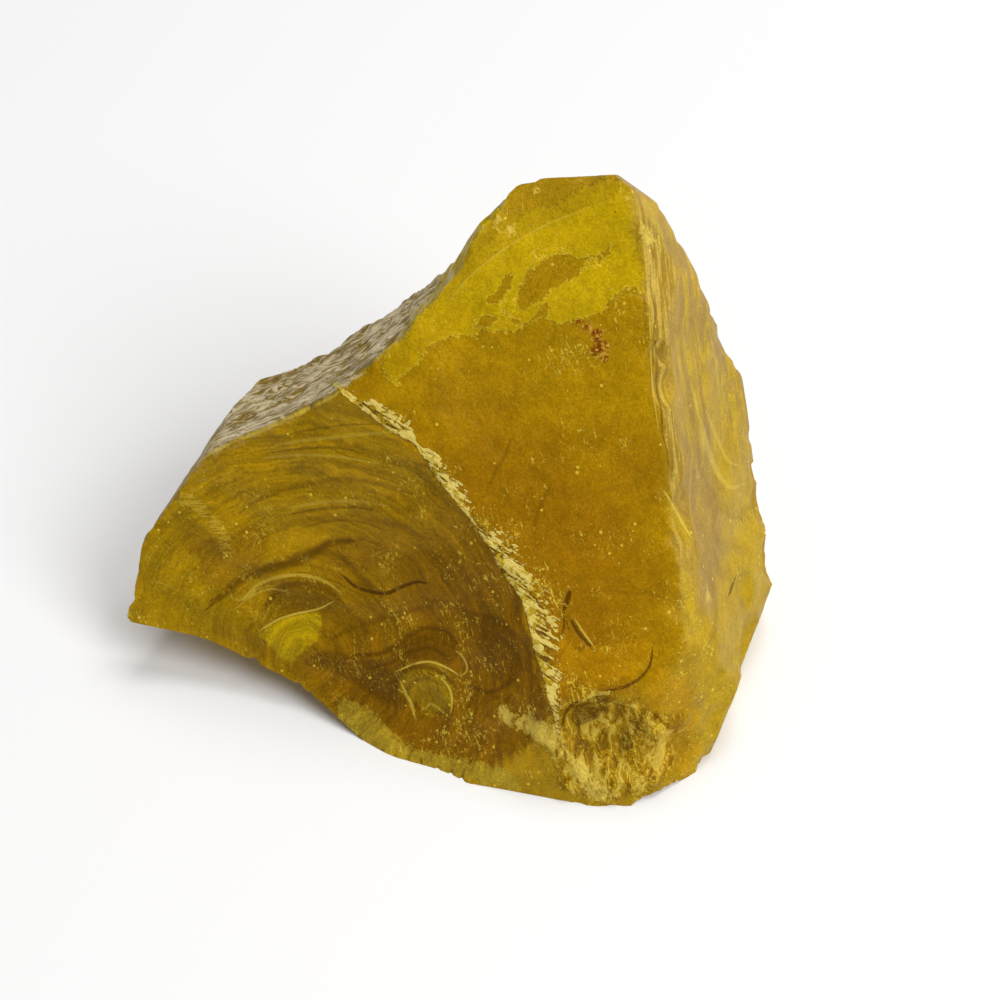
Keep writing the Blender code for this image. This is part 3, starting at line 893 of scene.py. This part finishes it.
# how far the ragged edge of a mark wanders, and how much of what lies under it a tone covers
edgeWander = {"shell": 1.7, "torn": 1.5, "bevel": 0.3, "lilac": 3.0, "inFoot": 0.9, "darkPatchAndShadow": 1.1, "pale": 1.4,
              "rustSpot": 1.8, "onSkin": 5.0, "strip": 3.0, "crushAndSheen": 0.5}
cover = {"torn": 0.95, "shellRim": 0.6, "bevel": 0.85, "rightLine": 0.35, "lilac": 0.5, "foot": 0.70, "crushAndSheen": 0.90,
         "line": 0.85, "dot": 0.7, "rustLight": 0.8}
# the fine relief, in mm
fineRelief = {"mottled": 0.22, "fine": 0.035, "bands": 0.16, "shell": 0.07, "torn": -0.10, "paintedGlints": 0.03,
              "scratches": 0.32, "crushAndSheen": 0.04, "flames": 0.35, "skin": -0.30, "fold": -0.05, "dark": -0.06,
              "pale": 0.04}
bowlBlow = (-11, -6.4, 4.2)    # the rings of the bowl run round this spot
dotScale = 1.15

material = bpy.data.materials.new("waxyYellowStone")
material.use_nodes = True
tree = material.node_tree


class Value:    # what a shader node gives, so that nodes can be added and multiplied like numbers
    def __init__(self, socket):
        self.socket = socket

    def __add__(self, other):
        return maths("ADD", self, other)

    __radd__ = __add__

    def __mul__(self, other):
        return maths("MULTIPLY", self, other)

    def __sub__(self, other):
        return maths("SUBTRACT", self, other)

    def __rsub__(self, other):
        return maths("SUBTRACT", other, self)


def fromScreen(colour):
    return [(value / 255 / 12.92 if value <= 10 else ((value / 255 + 0.055) / 1.055) ** 2.4)
            for value in colour] + [1.0]


def feed(socket, value):
    if isinstance(value, Value):
        tree.links.new(value.socket, socket)
    elif isinstance(value, str):
        socket.default_value = fromScreen(stoneFinish[value])
    else:
        socket.default_value = value


def addNode(kind, given=(), output=0, **settings):    # inputs by name or number, or all in their order
    node = tree.nodes.new(kind)
    for name, value in settings.items():
        setattr(node, name, value)
    for place, value in given.items() if isinstance(given, dict) else enumerate(given):
        feed(node.inputs[place], value)
    return Value(node.outputs[output])


def maths(operation, *values):
    return addNode("ShaderNodeMath", values, operation=operation)


def mark(name):
    return addNode("ShaderNodeAttribute", output="Fac", attribute_name=name)


def ramp(value, name):
    return addNode("ShaderNodeMapRange", (value, *ramps[name]), interpolation_type="SMOOTHSTEP")


def mix(share, first, second):
    return addNode("ShaderNodeMix", {0: share, 6: first, 7: second}, 2, data_type="RGBA")


def shade(colour, amount):
    return addNode("ShaderNodeVectorMath", {0: colour, "Scale": amount}, operation="SCALE")


def vector(*parts):
    return addNode("ShaderNodeCombineXYZ", parts)


coordinates = addNode("ShaderNodeTexCoord", output="Object")
spot = addNode("ShaderNodeMapping", {"Vector": coordinates, "Scale": (1000, 1000, 1000)})    # metres to mm


def along(heading):    # how far along a heading a point lies
    return addNode("ShaderNodeVectorMath", (spot, heading), "Value", operation="DOT_PRODUCT")


def noise(name, place=spot):
    names = ("Vector", "Scale", "Detail", "Roughness", "Distortion")
    return addNode("ShaderNodeTexNoise", dict(zip(names, (place, *noises[name]))))


def drawnNoise(name, *out):    # noise drawn out along its headings
    return noise(name, vector(*(along(heading) for heading in drawnOut[name]), *out))


height, across = along((0, 0, 1)), along((1, 0, 0))
cloudy, mottled, fine, grain = (noise(name) for name in ("cloudy", "mottled", "fine", "grain"))
drift = cloudy - 0.5    # times a length in mm, it bends a limit by about that much
ragged = (mottled - 0.5) + (fine - 0.5) * 0.8


def depthIn(name):    # how deep inside a mark a point lies, with a ragged edge
    return mark(name) + ragged * edgeWander[name]


def frontTone():    # amber below, a brighter shell above with torn edges and holes in it; the lightening towards the top is partly painted light from above
    front = mix(ramp(height + drift * 10, "upperFront"), "front", "frontUpper")
    front = mix(ramp(height + drift * 8, "lowFront"), front, "frontLow")
    front = mix(ramp(across + drift * 8, "rightFront"), front, "frontUpper")
    shellDepth, tornDepth = depthIn("shell"), depthIn("torn")
    shell = ramp(shellDepth, "shell")
    torn = ramp(tornDepth, "torn") * shell * cover["torn"]
    front = mix(shell * ramp(height, "crownShell"), front, "shell")
    front = mix(torn, front, "torn")
    # a lighter rim along the shell's torn step edges, a painted highlight
    rim = maths("MAXIMUM", ramp(shellDepth, "shellRimOut") * ramp(shellDepth, "shellRimIn"),
                ramp(tornDepth, "tornRimOut") * ramp(tornDepth, "tornRimIn"))
    front = mix(rim * shell * cover["shellRim"], front, "shellRim")
    return mix(ramp(depthIn("bevel"), "bevel") * cover["bevel"], front, "bevel"), shell, torn


def bowlTone():    # bands in rings about the blow, deeper towards the foot, and a clear olive tip
    away = addNode("ShaderNodeVectorMath", (spot, bowlBlow), "Value", operation="DISTANCE")
    ring, bent = away + drift * 3.0, cloudy * 3.0
    bands = noise("bands", vector(ring, bent, mottled * 0.8))
    threads = noise("threads", vector(ring * 4.6, bent, mottled * 1.6))
    bowl = mix(ramp(along((1, 0, -1)) + drift * 6, "bowlDeep"), "bowl", "bowlDeep")
    bowl = mix(ramp(across + drift * 8, "tip"), bowl, "tip")
    return bowl, bands, ramp(bands, "bands") * ramp(threads, "threads")


def shoulderTone():    # chalky skin drawn out along it, with the yellow showing through in dents
    skin = drawnNoise("skin")
    wander = ragged * edgeWander["onSkin"]
    onSkin = mark("onShoulder") * ramp(height + wander, "skinTop") * ramp(across + wander, "skinTip")
    return mix(ramp(skin, "skin"), "shoulder", "shoulderDeep"), skin, onSkin


def rightTone():    # pale, drawn out downwards in slow bends, with yellow coming through towards the edge
    streaks = drawnNoise("streaks")
    right = mix(ramp(streaks, "rightGrey"), "rightGrey", "right")
    right = mix(ramp(along((0.10, -0.02, -0.045)) + drift * 3.4, "rightYellow"), right, "rightYellow")
    thin = ramp(maths("ABSOLUTE", streaks - 0.53), "rightLine")    # a line where the streaks pass this level
    right = mix(thin * cover["rightLine"], right, "rightLine")
    right = mix(ramp(depthIn("lilac"), "lilac") * cover["lilac"], right, "lilac")
    strip = mix(ramp(drawnNoise("grooves"), "grooves"), "stripDark", "strip")
    return right, mix(ramp(height + ragged * edgeWander["strip"], "stripEnd"), strip, right)


def withPatches(colour, bowlShade):
    for name, (tone, amount, wander) in patchLooks.items():
        colour = mix(ramp(mark(name) + ragged * wander, "patch") * amount, colour, tone)
    return shade(colour, maths("MULTIPLY_ADD", mark("onBowl"), bowlShade - 1.0, 1.0))


def withFoot(colour):    # pale tongues that run down between darker gaps; then darker patches, with painted shadow in the foot hollow, and whitish patches, some of them painted highlights
    flames = drawnNoise("flames")
    footTone = mix(ramp(flames, "flameMiddle"), "footDeep", "footMiddle")
    footTone = mix(ramp(flames, "flamePale"), footTone, "footPale")
    foot = ramp(depthIn("inFoot"), "foot")
    colour = mix(foot * cover["foot"], colour, footTone)
    # darker patches, the one in the foot hollow a painted shadow
    colour = mix(ramp(depthIn("darkPatchAndShadow"), "darkPatchAndShadow") * ramp(fine, "deepGrain"), colour, "footDeep")
    # whitish patches, some of them painted highlights
    return mix(ramp(depthIn("pale"), "chalkAndGlint") * ramp(flames, "chalkGrain"), colour, "chalkAndGlint"), flames * foot


def withCrush(colour):    # crushed edge: fine slanting scratches that fray out over the front; its whitish tone is the crushed stone's own colour brightened with painted highlight
    width, off = mark("crushWidth"), mark("crushFrom")
    scratch = noise("scratch", vector(mark("crushCross") * 3.6, mark("crushRun") * 0.55, cloudy * 3.0))
    lumps = noise("lumps")
    fray = (scratch - 0.5) * 2.2 + (lumps - 0.5) * 2.6
    crushAndSheen = ramp(width * (fray + 0.85) - off, "crushReach") * ramp(off + ragged * edgeWander["crushAndSheen"], "crushEdge")
    tone = mix(ramp(scratch + lumps * 0.5 + width * -0.035, "crushDark"), "crushDeep", "crushAndSheen")
    tone = mix(ramp(lumps, "crushMiddle"), tone, "crushMiddle")
    return mix(crushAndSheen * cover["crushAndSheen"], colour, tone), crushAndSheen, scratch * crushAndSheen


def withLines(colour):
    shares = {}
    for name, (tone, wander) in lineLooks.items():
        gap = maths("ABSOLUTE", mark(name + "Across") + ragged * wander) + mark(name + "Beyond") * 12.0
        shares[name] = ramp(gap, name + "Line") * mark(name + "Depth") * ramp(mottled, "brokenLine")
        colour = mix(shares[name] * cover["line"], colour, tone)
    return colour, shares


def withPaintedGlints(colour):    # painted glints: small bright chips and strokes of painted highlight, thicker in some places than in others, and a few dark pits
    many = noise("many") + ramp(height, "paintedGlintLow")
    chips = maths("MAXIMUM", noise("chips"), drawnNoise("strokes", mottled * 4.0))
    paintedGlints = ramp(chips + (many - 0.5) * 0.50, "paintedGlint") * (1.0 - mark("onShoulder"))
    paintedGlints = paintedGlints * ramp(mark("onRight"), "paintedGlintRight")
    paintedGlints = paintedGlints * ramp(mark("onBowl") * ramp(across, "bowlLeft"), "paintedGlintBowl")
    colour = mix(paintedGlints * ramp(grain, "paintedGlintGrain"), colour, "paintedGlint")
    cells = tree.nodes.new("ShaderNodeTexVoronoi")    # scattered spots, with a random colour each: bright dots of painted glint, and dark pits
    feed(cells.inputs["Vector"], spot)
    feed(cells.inputs["Scale"], dotScale)
    gap, dice = Value(cells.outputs["Distance"]), addNode("ShaderNodeSeparateColor", [Value(cells.outputs["Color"])])
    dots = ramp(ramp(dice * many, "dotSize") - gap, "dotEdge")
    pits = ramp(ramp(dice, "pitSize") - gap, "pitEdge")
    colour = mix(dots * cover["dot"], colour, "paintedGlint")
    return mix(pits * cover["dot"], colour, "pit"), paintedGlints


def withRust(colour):
    rust = ramp(depthIn("rustSpot"), "rust") * ramp(mark("rustSpot"), "rustFade")
    colour = mix(rust * ramp(fine, "rustGrain"), colour, "rust")
    return mix(rust * ramp(fine, "rustLight") * cover["rustLight"], colour, "rustLight")


def finishStone(stone):
    front, shell, torn = frontTone()
    bowl, bands, bowlShade = bowlTone()
    shoulder, skin, onSkin = shoulderTone()
    right, strip = rightTone()
    crownSide = mix(ramp(height, "crownSide"), "tip", "crownSide")
    colour = mix(mark("onFront"), "other", front)
    for share, tone in ((mark("onBowl"), bowl), (mark("onShoulder"), crownSide), (onSkin, shoulder),
                        (mark("onRight"), right), (mark("onStrip"), strip)):
        colour = mix(share, colour, tone)
    colour, flames = withFoot(withPatches(colour, bowlShade))
    for name, value in (("cloudy", cloudy), ("mottled", mottled), ("fine", fine), ("grain", grain)):
        colour = shade(colour, ramp(value, name + "Shade"))
    colour, crushAndSheen, scratches = withCrush(colour)
    colour, lines = withLines(colour)
    colour, paintedGlints = withPaintedGlints(colour)
    shares = {"mottled": mottled, "fine": fine, "bands": bands * mark("onBowl"), "shell": shell, "torn": torn,
              "paintedGlints": paintedGlints, "scratches": scratches, "crushAndSheen": crushAndSheen, "flames": flames,
              "skin": skin * onSkin, **lines}
    relief = sum(shares[name] * rise for name, rise in fineRelief.items())
    bump = addNode("ShaderNodeBump", {"Height": relief, "Distance": stoneFinish["reliefUnit"],
                                      "Strength": stoneFinish["reliefStrength"]})
    shader = tree.nodes["Principled BSDF"]
    looks = {"Base Color": withRust(colour), "Roughness": ramp(fine, "rough") + crushAndSheen * stoneFinish["crushRoughness"],
             "Normal": bump, "IOR": stoneFinish["ior"], "Specular IOR Level": stoneFinish["specular"]}
    for name, value in looks.items():
        feed(shader.inputs[name], value)
    stone.data.materials.append(material)


finishStone(stone)
print("finish mixed")

# floor and light: sizes in metres, strengths in watts
studio = {
    "floorSize": 4, "floorColour": (0.93, 0.93, 0.93), "floorRoughness": 0.9,
    "skyColour": (1.0, 1.0, 1.0), "skyStrength": 0.22,
    "lamps": {    # place, aim, size, watts
        "topLamp": ((0.14, 0.16, 0.60), (0.004, 0.0, 0.015), 0.40, 2.1),
        "sideLamp": ((0.36, -0.34, 0.50), (0.004, 0.0, 0.012), 0.40, 3.0),
    },
}


def addFloor(setup):
    half = setup["floorSize"] / 2
    mesh = bpy.data.meshes.new("floor")
    mesh.from_pydata([(-half, -half, 0), (half, -half, 0), (half, half, 0), (-half, half, 0)], [], [(0, 1, 2, 3)])
    floor = bpy.data.objects.new("floor", mesh)
    material = bpy.data.materials.new("paleFloor")
    material.use_nodes = True
    shader = material.node_tree.nodes["Principled BSDF"]
    shader.inputs["Base Color"].default_value = (*setup["floorColour"], 1)
    shader.inputs["Roughness"].default_value = setup["floorRoughness"]
    mesh.materials.append(material)
    bpy.context.scene.collection.objects.link(floor)


def addLamps(setup):
    for name, (place, aim, size, watts) in setup["lamps"].items():
        data = bpy.data.lights.new(name, "AREA")
        data.shape, data.size, data.energy = "DISK", size, watts
        lamp = bpy.data.objects.new(name, data)
        lamp.location = place
        lamp.rotation_mode = "QUATERNION"
        lamp.rotation_quaternion = (Vector(aim) - Vector(place)).to_track_quat("-Z", "Y")
        bpy.context.scene.collection.objects.link(lamp)


def addSky(setup):
    world = bpy.data.worlds.new("softSky")
    world.use_nodes = True
    sky = world.node_tree.nodes["Background"]
    sky.inputs["Color"].default_value = (*setup["skyColour"], 1)
    sky.inputs["Strength"].default_value = setup["skyStrength"]
    bpy.context.scene.world = world


addFloor(studio)
addLamps(studio)
addSky(studio)
bpy.context.scene.view_settings.view_transform = "Standard"
bpy.context.scene.view_settings.look = "None"
print("studio lit")
